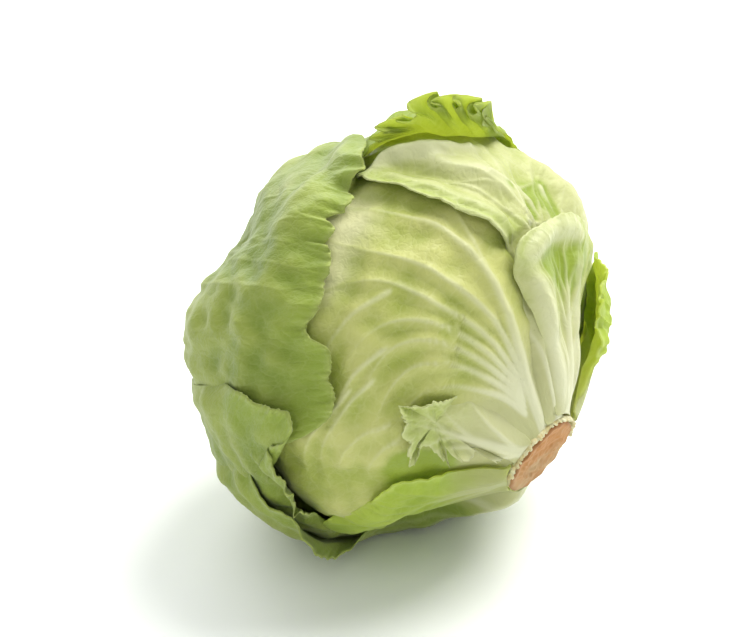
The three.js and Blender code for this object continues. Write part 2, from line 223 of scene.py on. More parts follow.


# The leaves, from the inmost out. Places are an angle from the stem and a turn about it, in degrees.
# node: what the leaf replaces. finish, slot: its look, and its material slot where that differs.
# hub: the middle of the leaf's flat map. grid: steps round the edge, and from the hub to the edge.
# outline: places and, where the edge is free, its lift in millimetres. jagged: straight between places.
# base, tip: ends of the main rib. ribs: side ribs to a side. lean, curl: how they leave it and curve on.
# rib: height of the ribs. bend: how far the blade bends up along them. veins, ties: ribs given as lines.
# folds: bends of the whole blade along a line, as height, half width in degrees and places.
# reach: how far in the lift of the edge starts. ruffle: its waves. pucker: height of the small blisters.
# lobes, lobe_length, scallop: how far lobes stand out, their length in degrees, and how far they rise.
# frill: tight curls of the free edge, as length, how far out, sideways and over.
# sink: how far fixed edges dive under. low: how much lower the whole leaf lies.
# pale: how far from the stem the pale base reaches. white: how white the folds are.
# windows: patches of colour, as a place, half width in degrees and strength; green above 0 is leaf seen
# through gaps and, on the front leaf, partly painted shade; cream below 0 is painted light.
LEAVES = [
    dict(
        node="back_leaf", pale=50, hub=(62, 263), grid=(200, 30), finish="green", base=(14, 262),
        tip=(140, 272), lean=34, curl=30, ribs=6, rib=1.2,
        outline=[(14, 244), (14, 280), (32, 292), (60, 312), (95, 330), (138, 346), (172, 275), (140, 212),
                 (96, 212), (60, 220), (30, 234)],
    ),
    dict(
        node="front_leaf", pale=50, hub=(56, 28), grid=(420, 58), finish="pale", base=(14, 22),
        tip=(112, 30), lean=30, curl=40, ribs=0, rib=0.9, bend=1.7,
        # Green patches in the pocket below the torn leaf are partly painted shade; the cream patches below 0
        # are painted light on the upper blade, where the leaves above shade it.
        windows_and_painted_light=[(36, 94, 8, 1), (31, 84, 5, 0.9), (42, 85, 5, 1), (101, 33, 10, -0.9), (93, 48, 8, -0.7)],
        outline=[(14, 4), (14, 78), (21, 91), (27, 101), (33, 110), (40, 120), (47, 128), (56, 133),
                 (65, 126), (72, 116), (81, 104), (95, 88), (106, 68), (114, 48), (118, 28), (117, 10),
                 (104, 2), (84, 357), (62, 357), (40, 0), (22, 1)],
        veins=[
            [(15, 20), (30, 18), (48, 16.5), (64, 16), (76, 18), (82, 19.5), (97, 26), (110, 34)],
            [(28, 20), (48, 21), (63, 26), (74, 29), (83, 33), (89, 36), (95, 38), (104, 42)],
            [(27, 22), (46, 26), (62, 33), (72, 36), (78, 38), (84, 42), (89, 47), (95, 56)],
            [(26, 24), (44, 30), (60, 37), (67, 42), (71, 47), (73, 53), (73, 60), (72, 68)],
            [(25, 26), (40, 33), (54, 39), (61, 44), (65, 50), (65, 57), (64, 65), (60, 74), (56, 84)],
            [(24, 28), (38, 37), (49, 43), (56, 49), (58, 57), (57, 66), (54, 76), (52, 88)],
            [(23, 30), (34, 41), (43, 48), (49, 55), (50, 64), (47, 73)],
            [(66, 52), (69, 62), (68, 72), (64, 84), (60, 96)],
            [(76, 40), (80, 50), (80, 60), (78, 72), (74, 84)],
            [(63, 61), (65, 69), (66, 79), (66, 88), (62, 97), (56, 106)],
            [(67, 67), (68.5, 76), (70.5, 84), (70, 93), (66, 102), (60, 110)],
            [(52, 71), (57, 76), (60, 84), (59, 93), (53, 102)],
            [(47, 75), (50, 80), (51.5, 86), (50, 93), (45, 98)],
            [(60, 16), (72, 14), (84, 12), (96, 12)],
        ],
    ),
    dict(
        node="torn_leaf", pale=46, hub=(40, 63), grid=(300, 36), finish="white", base=(15, 56),
        tip=(46, 66), lean=24, curl=10, ribs=3, rib=1.4, jagged=True, ruffle=0.15, reach=8, white=0.6,
        sink=2.2, low=1.3,
        outline=[(13.5, 42), (24, 40), (33, 42), (38, 48, 0.5), (42, 53.5, 1.5), (46.5, 56.5, 4),
                 (48, 59.5, 2.5), (50.5, 61.5, 3), (53.5, 62.5, 5), (51.5, 64.5, 3.5), (49, 66.5, 2.5),
                 (48.5, 70.5, 4), (45, 72.5, 2.5), (43, 80, 5), (41, 79, 4.5), (41.5, 72.5, 2),
                 (37.5, 73.5, 2), (31, 79.5, 5), (33, 73, 3), (28, 75, 5.5), (27, 67.5, 2.5), (23, 71, 4),
                 (20, 70, 0.5), (13.5, 75)],
        folds=[(1.0, 9.0, [(15, 55), (22, 52), (29, 50)])],
    ),
    dict(
        node="top_leaf", hub=(68, 349), grid=(400, 58), finish="white", base=(14, 357), tip=(106, 352),
        lean=24, curl=18, ribs=6, rib=1.3, ruffle=0.08, lobes=0.1, white=0.5, sink=2.0, low=0.9,
        windows_and_painted_light=[(80, 351, 3.5, 1), (77, 340, 5, 1), (69, 334, 6, 1), (79, 332, 3, 0.8), (75, 334, 4, 0.9),
                 (70, 347, 4, 0.9)],
        outline=[(14, 340), (14, 14), (30, 11), (50, 7), (62.5, 4.5, 0.6), (69.5, 7.5, 2.5),
                 (78.5, 12.5, 3.5), (87.5, 16, 3.5), (97, 19, 3.5), (104.5, 22, 3), (110, 21, 1), (124, 8),
                 (126, 345), (108, 318), (94, 309), (70, 302), (45, 308), (25, 324)],
        folds=[
            (4.2, 2.4, [(107, 20), (107.5, 13), (104, 8), (99, 0), (97, 352), (97, 345)]),
            (2.6, 3.4, [(106.5, 18), (105, 11.5), (101.5, 6.5), (94.5, 4), (86.5, 359), (79, 355),
                        (72, 353)]),
            (1.8, 2.4, [(104, 20), (100.5, 17), (94, 14), (87, 11), (77, 7.5), (70.5, 3.5), (63, 2)]),
            (-1.2, 2.2, [(104, 15), (97, 10), (90, 7), (82, 4), (74, 0), (66, 358)]),
        ],
        ties=[
            [(84, 357), (80, 350), (79, 344), (80, 334), (78, 326)],
            [(80, 350), (74, 351), (66, 352), (60, 356)],
            [(79, 345), (73, 344), (66, 344), (60, 342)],
            [(78, 333), (72, 334), (64, 334)],
            [(67, 353), (65, 346), (66, 338)],
        ],
    ),
    dict(
        node="right_leaf", hub=(34, 341), grid=(300, 44), finish="white", base=(14, 341), tip=(58, 342),
        lean=20, curl=12, ribs=4, rib=1.4, ruffle=0.12, lobes=0.1, white=0.9, pale=50, sink=2.2, low=1.0,
        windows_and_painted_light=[(54, 352, 6, 1), (48, 341, 7, 0.9), (53, 333, 5, 1)],
        outline=[(14, 324), (14, 358), (30, 3), (46, 7), (57, 8, 0.6), (63, 4, 2), (64.5, 352, 3),
                 (65, 338, 5), (61, 326, 4), (52, 320, 1.5), (42, 318), (25, 318)],
        folds=[
            (3.0, 3.2, [(58, 5), (60.5, 357), (61.5, 348), (61.5, 338), (59, 331)]),
            (2.0, 3.0, [(16, 350), (30, 357), (46, 2), (57, 3)]),
            (1.8, 2.6, [(16, 332), (30, 333), (45, 335), (57, 334)]),
        ],
    ),
    dict(
        node="crest_leaf", pale=44, hub=(98, 286), grid=(480, 56), finish="bright", base=(14, 288),
        tip=(126, 318), lean=32, curl=26, ribs=7, rib=1.2, ruffle=0.12, frill=(5.4, 2.0, 1.9, 1.0),
        scallop=0.4, lobes=0.5, lobe_length=5.4, reach=22,
        outline=[(14, 270), (14, 298), (30, 297), (60, 297), (84, 297), (95, 304), (100, 314), (102.5, 325),
                 (101.5, 334, 0.5), (99, 341, 3), (97, 347, 11), (97.5, 352, 14.5), (100, 357, 16),
                 (102, 0, 15.5), (104, 4, 15.5), (107, 8, 12), (110, 12, 4.5), (113.5, 15, 0.8), (119, 15),
                 (128, 350), (138, 305), (124, 274), (100, 262), (70, 262), (40, 264)],
    ),
    dict(
        # Its finish is the bright one made lighter: painted light, for a leaf in shade.
        node="rim_leaf", pale=34, hub=(38, 302), grid=(360, 44), finish="bright_painted_lit", base=(15, 308),
        tip=(68, 312), lean=30, curl=20, ribs=5, rib=1.4, ruffle=0.2, frill=(5.4, 2.0, 1.6, 0.8),
        scallop=0.4, lobes=0.5, lobe_length=5.4, reach=18,
        outline=[(15, 290), (15, 310), (19, 313, 0.5), (25, 317, 2), (32, 322, 3.5), (40, 325, 4),
                 (48, 320, 2.6), (56, 311, 0.8), (62, 302, 0.4), (62, 294), (54, 287), (40, 283),
                 (24, 284)],
        folds=[(3.4, 4.5, [(26, 309), (33, 311), (41, 311), (48, 308)])],
    ),
    dict(
        node="left_leaf", pale=44, hub=(143, 187), grid=(480, 64), finish="green", base=(24, 190),
        tip=(116, 30), lean=30, curl=24, ribs=9, rib=0.6, ruffle=0.25, lobes=0.0, reach=13, pucker=0.6,
        # The cream patches below 0 are a painted sheen on the upper blade.
        windows_and_painted_light=[(121, 20, 9, -0.3), (133, 34, 9, -0.3)],
        outline=[(134, 350), (128, 0), (121, 6, 0.4), (115.5, 11, 0.7), (112, 15, 1.2), (109.5, 18, 2.4),
                 (105, 21.5, 4), (107, 25, 1), (106, 27.5, 1), (102.5, 28, 2.5), (101.3, 30, 3),
                 (101.5, 33, 2), (103.5, 36.8, 1), (100, 37, 2.5), (98.5, 38.3, 3), (99, 41.5, 1),
                 (97, 41.6, 2.5), (95, 42.7, 3), (92, 46, 3), (92.2, 48, 1.5), (89.5, 50.5, 3), (88, 53, 3),
                 (87.5, 56, 2), (88, 59.5, 1), (85.5, 60.5, 2), (81, 60, 3), (78.5, 60, 3), (76, 62, 3),
                 (74.5, 64.5, 2.5), (74, 66.7, 1.5), (71.5, 67.5, 3), (69, 70.5, 3), (68, 74.5, 2.5),
                 (69, 78.5, 2), (71, 82.5, 1.5), (75, 88, 1), (80, 100), (78, 118), (70, 142), (52, 168),
                 (32, 182), (22, 186), (22, 194), (44, 204), (66, 212), (92, 214), (118, 212), (144, 220),
                 (160, 262), (154, 318), (144, 338)],
    ),
    dict(
        node="wrap_leaf", pale=40, hub=(100, 191), grid=(420, 60), finish="green", base=(16, 184),
        tip=(88, 84), lean=30, curl=24, ribs=8, rib=0.6, ruffle=0.3, lobes=0.0, reach=13, pucker=0.5,
        outline=[(117, 106), (109, 96), (102, 88.5), (96, 84.5, 1), (91.5, 82.5, 2), (87.5, 82, 1.5),
                 (84.5, 80.5, 2.5), (81, 79, 3), (77.5, 78.8, 3), (75.2, 81.5, 3), (75.4, 84.5, 2.5),
                 (77.5, 88, 2), (80, 91.5, 1), (78, 93, 3), (75.5, 95, 5), (72.5, 97.8, 7), (70, 101, 7.5),
                 (68.2, 105.5, 7), (67.2, 110, 5), (65, 118, 1), (62, 128), (52, 154), (34, 172), (14, 174),
                 (14, 192), (42, 204), (64, 214), (90, 216), (116, 200), (130, 160), (126, 120)],
        folds=[
            (-2.2, 1.7, [(87, 99), (82, 101.5), (77.5, 104.5), (73, 109), (69.5, 113)]),
            (1.6, 2.2, [(80, 95), (76, 98.5), (72.5, 102.5), (70, 107)]),
        ],
    ),
    dict(
        # Its finish is the bright one made lighter: painted light, for a leaf in shade.
        node="low_leaf", pale=34, hub=(30, 122), grid=(340, 46), finish="bright_painted_lit", base=(16, 112),
        tip=(60, 124), lean=34, curl=20, ribs=5, rib=1.2, ruffle=0.4, lobes=0.7, lobe_length=6, reach=14,
        white=0.2, sink=3.0, low=0.8, slot="leaf",
        outline=[(13.5, 74), (19, 83, 0.2), (23, 87, 0.5), (26, 91, 0.7), (29, 89.5, 1), (33, 88.5, 2),
                 (37, 92, 1.8), (41, 93, 2.2), (45, 100, 1.4), (47, 107, 1), (50, 112, 0.8), (54, 117, 0.8),
                 (58, 121, 0.6), (62, 126, 0.5), (62, 134), (56, 147, 0.5), (48, 157, 0.4), (44, 162, 0.4),
                 (40, 161, 0.4), (34, 168, 0.4), (30, 167, 0.4), (24, 174, 0.3), (20, 173), (13.5, 170),
                 (13.5, 110)],
        folds=[(1.6, 5.0, [(15, 92), (20, 96), (25, 99)])],
    ),
    dict(
        node="bottom_leaf", pale=40, hub=(78, 182), grid=(280, 42), finish="green", base=(14, 196),
        tip=(116, 168), lean=32, curl=24, ribs=7, rib=0.6, ruffle=0.2, lobes=0.1, reach=14, sink=5.0,
        outline=[(14, 180), (14, 212), (36, 218), (62, 222), (92, 224), (114, 208), (122, 172), (116, 140),
                 (103, 120), (93, 112, 0.4), (86, 109, 0.8), (80, 110, 1.2), (74, 113, 1.6), (70, 117, 2.5),
                 (66, 121, 4), (62.5, 127, 5), (61, 135, 4), (58, 148, 1), (46, 163), (28, 174)],
        folds=[
            (1.8, 2.4, [(96, 114), (88, 114), (81, 117), (74, 121), (67, 128)]),
            (1.6, 2.4, [(100, 122), (92, 122), (84, 126), (76, 131), (68, 138)]),
        ],
    ),
    dict(
        node="rear_leaf", pale=48, hub=(60, 236), grid=(320, 44), finish="green", base=(14, 235),
        tip=(126, 234), lean=34, curl=28, ribs=8, rib=1.4, ruffle=0.18, lobes=0.7, lobe_length=15,
        frill=(13, 1.4, 0.8, 0.0), reach=24,
        outline=[(14, 218), (14, 252), (34, 256), (60, 265, 3), (90, 270, 5), (114, 264, 6), (132, 244, 5),
                 (134, 222, 3), (110, 212, 1), (80, 212), (45, 215), (25, 216)],
    ),
]


def grown_veins(leaf, fit, seed):
    """The ribs of a leaf as lines on its flat map: [points, height at the start, share of width]."""
    draw = np.random.default_rng(seed)
    base, tip = fit.place([leaf["base"], leaf["tip"]])
    length = np.linalg.norm(tip - base)
    way = (tip - base) / length
    side = np.array([way[1], -way[0]])
    t = np.linspace(0, 1, 16)[:, None]
    bend = draw.uniform(-0.06, 0.06)
    main = base + (tip - base) * t + side * length * bend * np.sin(np.pi * t)
    lines = [(main, 1.0, 1.0)]
    for i in range(leaf["ribs"]):
        for hand in (-1, 1):
            share = 0.06 + 0.78 * (i + 0.35 * (hand > 0) + draw.uniform(-0.1, 0.1)) / leaf["ribs"]
            start = main[int(np.clip(share, 0, 0.95) * 15)]
            reach = length * (0.95 - 0.6 * share) * draw.uniform(0.85, 1.1)
            heading = np.radians(leaf["lean"] + draw.uniform(-5, 5))
            turn = np.radians(leaf["curl"] * draw.uniform(0.7, 1.3))
            points = [start]
            for step in range(14):
                angle = heading + turn * step / 13
                points.append(points[-1] + (way * np.cos(angle) + hand * side * np.sin(angle)) * reach / 14)
            points = np.array(points)
            lines.append((points, 0.62 - 0.2 * share, 0.55))
            for fork in (5, 9):
                angle = heading + turn * fork / 13 + np.radians(draw.choice([-28, 26]))
                twig = [points[fork]]
                for step in range(7):
                    angle += np.radians(draw.uniform(-3, 3))
                    twig.append(twig[-1] + (way * np.cos(angle) + hand * side * np.sin(angle)) * reach / 22)
                lines.append((np.array(twig), 0.32, 0.36))
    return lines


def read_veins(leaf, fit):
    """The ribs that the photo shows on the front leaf."""
    lines = []
    for i, spots in enumerate(leaf["veins"]):
        corners = fit.place(spots)
        t = np.linspace(0, len(corners) - 1, 26)
        line = np.stack([np.interp(t, range(len(corners)), corners[:, k]) for k in (0, 1)], -1)
        for _ in range(3):
            line[1:-1] = 0.25 * line[:-2] + 0.5 * line[1:-1] + 0.25 * line[2:]
        lines.append((line, 1.0 if i == 0 else 0.8 - 0.02 * i, 1.0 if i == 0 else 0.62))
    return lines


def rib_field(lines, spots, stem):
    """How high the ribs stand at places on a flat map, and how far the blade bends up along them."""
    height = np.zeros(len(spots))
    bend = np.zeros(len(spots))
    for line, strength, width in lines:
        steps = len(line) - 1
        for i in range(steps):
            a, step = line[i], line[i + 1] - line[i]
            share = np.clip(((spots - a) @ step) / max(step @ step, 1e-9), 0, 1)
            gone = (i + share) / steps
            far2 = ((spots - a - share[:, None] * step) ** 2).sum(1)
            wide = (0.6 + 1.4 * (1 - gone)) * width
            height = np.maximum(height, strength * (1 - 0.7 * gone) * np.exp(-far2 / (wide * wide)))
            arch = strength * np.sin(np.pi * np.clip(gone + 0.12, 0, 1))
            bend = np.maximum(bend, arch * np.exp(-far2 / 6.5))
    return height * (1 + 0.4 * smooth(-40, -16, -stem)), bend


def fold_field(folds, fit, spots):
    """Height of the bends along a leaf's folds, fading out at their ends."""
    total = np.zeros(len(spots))
    for height, width, points in folds:
        line = fit.place(points)
        steps = len(line) - 1
        best = np.zeros(len(spots))
        for i in range(steps):
            step = line[i + 1] - line[i]
            share = np.clip(((spots - line[i]) @ step) / (step @ step), 0, 1)
            gone = (i + share) / steps
            far2 = ((spots - line[i] - share[:, None] * step) ** 2).sum(1)
            fade = np.minimum(1, 0.25 + 4 * np.minimum(gone, 1 - gone))
            best = np.maximum(best, fade * np.exp(-far2 / (width * width)))
        total += height * best
    return total


def leaf_edge(leaf, order, fit):
    """A leaf's outline on its flat map, and the lobes, teeth and curls of its free stretches."""
    spots = [tuple(spot) + (0,) * (3 - len(spot)) for spot in leaf["outline"]]
    corners = np.column_stack([fit.place(spots), [spot[2] for spot in spots]])
    curve = closed_curve(corners, 40, leaf.get("jagged", False))
    area = np.sum(curve[:, 0] * np.roll(curve[:, 1], -1) - curve[:, 1] * np.roll(curve[:, 0], -1))
    if area < 0:
        curve = curve[::-1]
    edge, run = evenly(curve, leaf["grid"][0], 2.5)
    plain, _ = evenly(curve, 120)
    free = smooth(0.2, 1.5, edge[:, 2])
    line = run[:, None]
    wander = 2.2 * ripples(line, 26, 40 + order) + 0.9 * ripples(line, 9, 70 + order)
    lobes = np.abs(np.sin(np.pi * (run + wander) / leaf.get("lobe_length", 9.5))) ** 0.7 - 0.6
    teeth = 0.16 * ripples(line, 3.4, 90 + order) + 0.08 * ripples(line, 1.5, 120 + order)
    out = free * (leaf.get("lobes", 1.2) * lobes + teeth)
    if leaf.get("jagged"):
        out = free * (0.7 * ripples(line, 4, 91) + 0.4 * ripples(line, 1.8, 92))
    length, outward, sideward, over = leaf.get("frill", (8.0, 0.0, 0.0, 0.0))
    frilled = free * smooth(1, 7, edge[:, 2])
    phase = 2 * np.pi * (run + wander) / length
    curls = np.sin(phase) + 0.35 * ripples(line, length * 0.5, 150 + order)
    return {
        "edge": edge[:, :2],
        "lift": edge[:, 2] * (1 + leaf.get("scallop", 0.0) * lobes),
        "run": run,
        "free": free,
        "plain": plain,
        "out": out,
        "curls": frilled * outward * curls,
        "sideways": frilled * sideward * np.sin(2 * phase),
        "over": frilled * over,
    }


def leaf_grid(shape, rings):
    """The hub and the rings of places on a leaf's flat map, and how far in from the edge each lies."""
    edge = shape["edge"]
    tangent = np.roll(edge, -1, axis=0) - np.roll(edge, 1, axis=0)
    tangent /= np.linalg.norm(tangent, axis=1, keepdims=True)
    reach = np.hypot(edge[:, 0], edge[:, 1])
    ring = np.arange(1, rings + 1) / rings
    share = 0.35 * np.sin(0.5 * np.pi * ring) + 0.65 * ring
    rim = (1 - share)[:, None] * reach[None, :] * DEGREE
    close = np.clip(1 - rim / FRILL_WIDTH, 0, 1)
    grown = share[:, None] + (shape["out"] / reach)[None, :] * (share**6)[:, None]
    grown += (shape["curls"] / reach)[None, :] * close**1.5
    grown += (shape["over"] / reach)[None, :] * close**4
    sideways = (tangent * shape["sideways"][:, None])[None] * (close**1.5)[:, :, None]
    flat = edge[None] * grown[:, :, None] + sideways
    flat = np.concatenate([[[0.0, 0.0]], flat.reshape(-1, 2)])
    return flat, np.concatenate([[rim.max()], rim.ravel()])


def leaf_faces(sectors, rings, count):
    """Faces of a leaf's upper side, its underside and the rim between them."""
    index = np.arange(sectors)
    after = (index + 1) % sectors
    quads = []
    fans = []
    for base, flip in ((0, False), (count, True)):
        fan = np.stack([np.full(sectors, base), base + 1 + index, base + 1 + after], -1)
        fans.append(fan[:, ::-1] if flip else fan)
        for row in range(rings - 1):
            low = base + 1 + row * sectors
            high = low + sectors
            quad = np.stack([low + index, high + index, high + after, low + after], -1)
            quads.append(quad[:, ::-1] if flip else quad)
    last = 1 + (rings - 1) * sectors
    quads.append(np.stack([last + index, count + last + index, count + last + after, last + after], -1))
    return [face for group in quads + fans for face in group.tolist()]


def leaf_mesh(leaf, order, laid):
    """One leaf: draped over those below, ribbed, puckered, and ruffled along its free edge."""
    sectors, rings = leaf["grid"]
    fit = LeafMap(leaf["hub"])
    shape = leaf_edge(leaf, order, fit)
    flat, rim = leaf_grid(shape, rings)
    count = len(flat)
    round_edge = (shape["lift"], shape["run"], shape["free"])
    lift, along, loose = (np.concatenate([[0], np.tile(values, rings)]) for values in round_edge)

    # The leaves it lies on, its ribs and its folds
    direction = fit.direction(flat)
    stem = from_stem(direction)
    pile = np.zeros(count)
    for below in laid:
        covered = smooth(-DRAPE, 0, inside_by(below["edge"], below["fit"].flat(direction)))
        pile += (PITCH + swell(direction)) * covered
    lines = read_veins(leaf, fit) if "veins" in leaf else grown_veins(leaf, fit, 200 + order)
    lines += [(fit.place(tie), 0.8, 0.75) for tie in leaf.get("ties", [])]
    ribs, bend = rib_field(lines, flat, stem)
    folds = fold_field(leaf.get("folds", []), fit, flat)

    # The lift and the waves of the free edge
    wave = ripples(along[:, None], 11, 300 + order)
    flutter = ripples(along[:, None], 4.5, 330 + order)
    near = np.clip(1 - rim / RUFFLE_WIDTH, 0, 1)
    raised = lift * np.clip(1 - rim / leaf.get("reach", 18), 0, 1) ** 1.6
    ruffle = leaf.get("ruffle", 0.2) * np.minimum(lift, 8) * loose
    raised = raised + ruffle * (0.8 * wave * near**1.5 + 0.45 * flutter * near**3)
    raised = np.maximum(raised, -0.5 * np.minimum(lift, 1))

    # The relief of the blade, which fades out towards the floor, and its two sides
    place = on_head(direction, np.zeros(count))
    above_floor = CENTRE_HEIGHT - place @ DOWN
    still = smooth(2, 9, above_floor)
    lumps = 1.0 * ripples(place, 34, 1) + 0.55 * ripples(place, 17, 2)
    lumps = (lumps + bulge(direction)) * smooth(4, 16, above_floor) * smooth(14, 40, stem)
    pucker = leaf.get("pucker", 0.4) * ripples(place, 8.5, 400 + order) * smooth(16, 50, stem)
    relief = (lumps + pucker + folds + leaf.get("bend", 0.4) * bend) * still
    seated = (1 - loose) * np.clip(1 - rim / SEAT_WIDTH, 0, 1) ** 1.5
    gap = pile + raised + relief - leaf.get("sink", 1.4) * seated - leaf.get("low", 0.0)
    blade = BLADE_EDGE + BLADE_MORE * smooth(0, 10, rim) + swell(direction)
    blade = blade * (1 - 0.85 * seated)
    top = on_head(direction, gap + blade + leaf["rib"] * ribs * still)
    sunk = np.maximum(top @ DOWN - CENTRE_HEIGHT, 0)
    top -= sunk[:, None] * DOWN
    under = on_head(direction, gap)

    # The base, drawn in to the stem
    hug = smooth(-30, -13.6, -stem) ** 1.4
    for skin, above, level in ((top, pile + blade, LEAF_BASE_TOP), (under, pile, LEAF_BASE_UNDER)):
        from_axis = np.maximum(np.hypot(skin[:, 0], skin[:, 1]), 1e-6)
        wanted = STEM_RADIUS + 0.4 + 0.45 * above
        skin[:, :2] *= (1 + hug * (wanted / from_axis - 1))[:, None]
        skin[:, 2] += hug * (level - skin[:, 2])

    # The mesh, with what its finish needs to know at each vertex
    mesh = bpy.data.meshes.new(leaf["node"] + "_blade")
    points = in_world(np.concatenate([top, under]))
    mesh.from_pydata(points.tolist(), [], leaf_faces(sectors, rings, count))
    # Patches of colour: green for leaf seen in gaps, on the front leaf partly painted shade; cream below 0
    # is painted light.
    window_and_painted_light = np.zeros(count)
    for angle, turn, width, strength in leaf.get("windows_and_painted_light", []):
        window_and_painted_light += strength * np.exp(-((degrees_apart(direction, angle, turn) / width) ** 2))
    marks = {
        "rib": np.clip(np.maximum(ribs, leaf.get("white", 0) * folds / 2.4), 0, 1),
        "stemward": smooth(-leaf.get("pale", 64), -18, -stem),
        "free": loose * np.clip(1 - rim / MARGIN_WIDTH, 0, 1),
        "window_and_painted_light": window_and_painted_light * (1 - 0.8 * np.clip(ribs * 1.3, 0, 1)),
        # A painted highlight along the free edge.
        "painted_edge_highlight": loose * np.exp(-((rim / EDGE_HIGHLIGHT_WIDTH) ** 2)),
        # Painted shade: low places of the relief get the deep green.
        "painted_hollow_shade": np.clip(0.45 + 0.3 * lumps + 0.5 * pucker + 0.5 * bend + 0.2 * folds, 0, 1),
        "spread": np.concatenate([flat * DEGREE * 0.1 + order * 7.0, np.zeros((count, 1))], -1),
    }
    for name, values in marks.items():
        store(mesh, name, np.concatenate([values, values]))
    mesh.shade_smooth()
    laid.append({"fit": fit, "edge": shape["plain"]})
    return mesh


def store(mesh, name, values):
    """Keeps a number or a vector for each vertex of a mesh."""
    values = np.asarray(values, np.float32)
    kind, field = ("FLOAT", "value") if values.ndim == 1 else ("FLOAT_VECTOR", "vector")
    mesh.attributes.new(name, kind, "POINT").data.foreach_set(field, values.ravel())


class Wire:
    """A socket in a node tree that takes part in sums as a number does."""

    def __init__(self, tree, socket):
        self.tree = tree
        self.socket = socket

    def math(self, operation, *terms):
        node = self.tree.nodes.new("ShaderNodeMath")
        node.operation = operation
        for term, socket in zip(terms, node.inputs):
            join(self.tree, term, socket)
        return Wire(self.tree, node.outputs[0])

    def __add__(self, other):
        return self.math("ADD", self, other)

    def __radd__(self, other):
        return self.math("ADD", other, self)

    def __sub__(self, other):
        return self.math("SUBTRACT", self, other)

    def __rsub__(self, other):
        return self.math("SUBTRACT", other, self)

    def __mul__(self, other):
        return self.math("MULTIPLY", self, other)

    def __rmul__(self, other):
        return self.math("MULTIPLY", other, self)

    def __truediv__(self, other):
        return self.math("DIVIDE", self, other)

    def __rtruediv__(self, other):
        return self.math("DIVIDE", other, self)

    def other(self, name):
        """Another output of the same node."""
        return Wire(self.tree, self.socket.node.outputs[name])


def join(tree, value, socket):
    if isinstance(value, Wire):
        tree.links.new(value.socket, socket)
    else:
        socket.default_value = value


class Tree:
    """Adds nodes to a material's or a modifier's tree."""

    def __init__(self, tree):
        self.tree = tree

    def node(self, kind, settings=None, sockets=None, output=0):
        """A node of a kind, with its settings and the values or links of its sockets."""
        made = self.tree.nodes.new(kind)
        for key, value in (settings or {}).items():
            setattr(made, key, value)
        for key, value in (sockets or {}).items():
            join(self.tree, value, made.inputs[key])
        return Wire(self.tree, made.outputs[output]) if made.outputs else None

    def blend(self, factor, a, b):
        settings = {"data_type": "RGBA", "blend_type": "MIX", "clamp_factor": True}
        return self.node("ShaderNodeMix", settings, {0: factor, 6: a, 7: b}, 2)

    def step(self, value, low, high):
        sockets = {"Value": value, "From Min": low, "From Max": high, "To Min": 0.0, "To Max": 1.0}
        return self.node("ShaderNodeMapRange", {"interpolation_type": "SMOOTHSTEP"}, sockets)

    def kept(self, name, output="Fac"):
        """What a mesh keeps under a name at each vertex."""
        return self.node("ShaderNodeAttribute", {"attribute_name": name}, output=output)

    def place(self):
        return self.node("ShaderNodeTexCoord", None, None, "Object")

    def noise(self, place, scale, detail=3.0, output=0):
        sockets = {"Vector": place, "Scale": scale, "Detail": detail}
        return self.node("ShaderNodeTexNoise", None, sockets, output)

    def warped(self, place, scale, detail, amount):
        """A place moved about by noise, so that a net on it isn't straight."""
        sockets = {0: self.noise(place, scale, detail, "Color"), 1: amount, 2: place}
        return self.node("ShaderNodeVectorMath", {"operation": "MULTIPLY_ADD"}, sockets)

    def net(self, place, scale):
        """Distance to the nearest line of an irregular net."""
        sockets = {"Vector": place, "Scale": scale}
        return self.node("ShaderNodeTexVoronoi", {"feature": "DISTANCE_TO_EDGE"}, sockets)

    def bump(self, height, strength, depth):
        return self.node("ShaderNodeBump", None, {"Strength": strength, "Distance": depth, "Height": height})

    def skin(self, body, rough, normal, more=None):
        sockets = {"Base Color": body, "Roughness": rough, "Normal": normal, **(more or {})}
        return self.node("ShaderNodeBsdfPrincipled", None, sockets)

    def end(self, shader):
        self.node("ShaderNodeOutputMaterial", None, {"Surface": shader})


def colour(red, green, blue):
    """A colour as it shows on a screen, 0 to 255, made linear."""
    linear = [(c / 255) ** 2.2 for c in (red, green, blue)]
    return (*linear, 1.0)


def new_finish(name):
    material = bpy.data.materials.new(name)
    material.use_nodes = True
    material.node_tree.nodes.clear()
    return material, Tree(material.node_tree)


BASE_WHITE = colour(195, 195, 143)
RIB_WHITE = colour(222, 222, 184)
# Patch colours: a green for leaf seen in gaps, partly painted shade, and a cream that is mostly painted
# light.
WINDOW_GREEN_AND_PAINTED_SHADE = colour(141, 163, 40)
CREAM_TONE_AND_PAINTED_LIGHT = colour(232, 229, 180)
SPECK_GREEN = colour(112, 122, 48)


